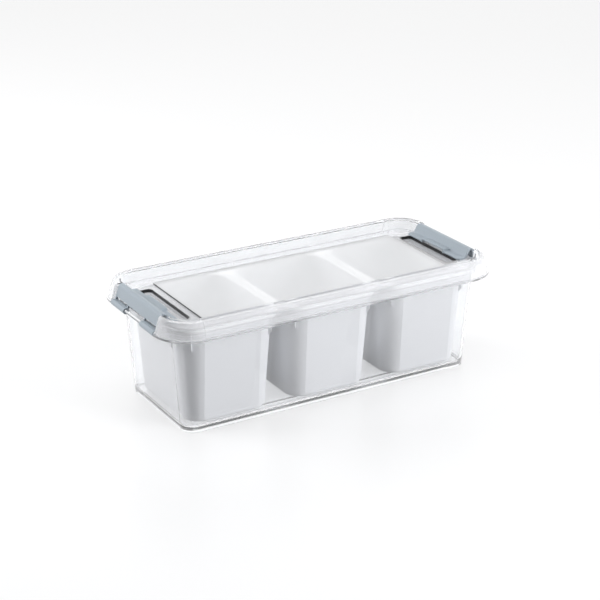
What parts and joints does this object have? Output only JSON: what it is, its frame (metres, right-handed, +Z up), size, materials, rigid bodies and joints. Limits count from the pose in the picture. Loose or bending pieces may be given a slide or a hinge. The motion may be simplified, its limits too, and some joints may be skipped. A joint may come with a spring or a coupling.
{
  "type": "compartment storage caddy",
  "caption": "Long clear caddy with a clear lid held by two grey flip clips, and open light grey bins inside.",
  "frame": {"origin": "centre of the base, on the surface that the caddy stands on", "axes": "+X along the length towards the right-hand clip, +Y to the back, +Z up"},
  "size_m": [0.3604, 0.1642, 0.1166],
  "materials": {
    "clear_box": "clear polished",
    "clear_lid": "clear polished",
    "grey_clip": "satin moulded",
    "grey_bin": "satin moulded"
  },
  "bodies": {
    "box": {"outer_box": "clear_box"},
    "lid": {"lid": "clear_lid"},
    "left_clip": {"left_clip": "grey_clip"},
    "right_clip": {"right_clip": "grey_clip"},
    "left_bin": {"left_bin": "grey_bin"},
    "middle_bin": {"middle_bin": "grey_bin"},
    "right_bin": {"right_bin": "grey_bin"}
  },
  "joints": [
    {"name": "lid_lift", "type": "slide", "parent": "box", "child": "lid", "axis": [0, 0, 1], "range_m": [0, 0.046]},
    {"name": "left_flip", "type": "hinge", "parent": "box", "child": "left_clip", "pos_m": [-0.1772, 0, 0.0996], "axis": [0, -1, 0], "range_deg": [0, 240]},
    {"name": "right_flip", "type": "hinge", "parent": "box", "child": "right_clip", "pos_m": [0.1772, 0, 0.0996], "axis": [0, 1, 0], "range_deg": [0, 240]},
    {"name": "left_bin_lift", "type": "slide", "parent": "box", "child": "left_bin", "axis": [0, 0, 1], "range_m": [0, 0.105]},
    {"name": "middle_bin_lift", "type": "slide", "parent": "box", "child": "middle_bin", "axis": [0, 0, 1], "range_m": [0, 0.105]},
    {"name": "right_bin_lift", "type": "slide", "parent": "box", "child": "right_bin", "axis": [0, 0, 1], "range_m": [0, 0.105]}
  ],
  "couplings": [
    {"joint": "left_flip", "follows": "lid_lift", "rad_per_m": 91.061},
    {"joint": "right_flip", "follows": "lid_lift", "rad_per_m": 91.061},
    {"joint": "left_bin_lift", "follows": "lid_lift", "ratio": 0.9},
    {"joint": "middle_bin_lift", "follows": "lid_lift", "ratio": 0.9},
    {"joint": "right_bin_lift", "follows": "lid_lift", "ratio": 0.9}
  ]
}
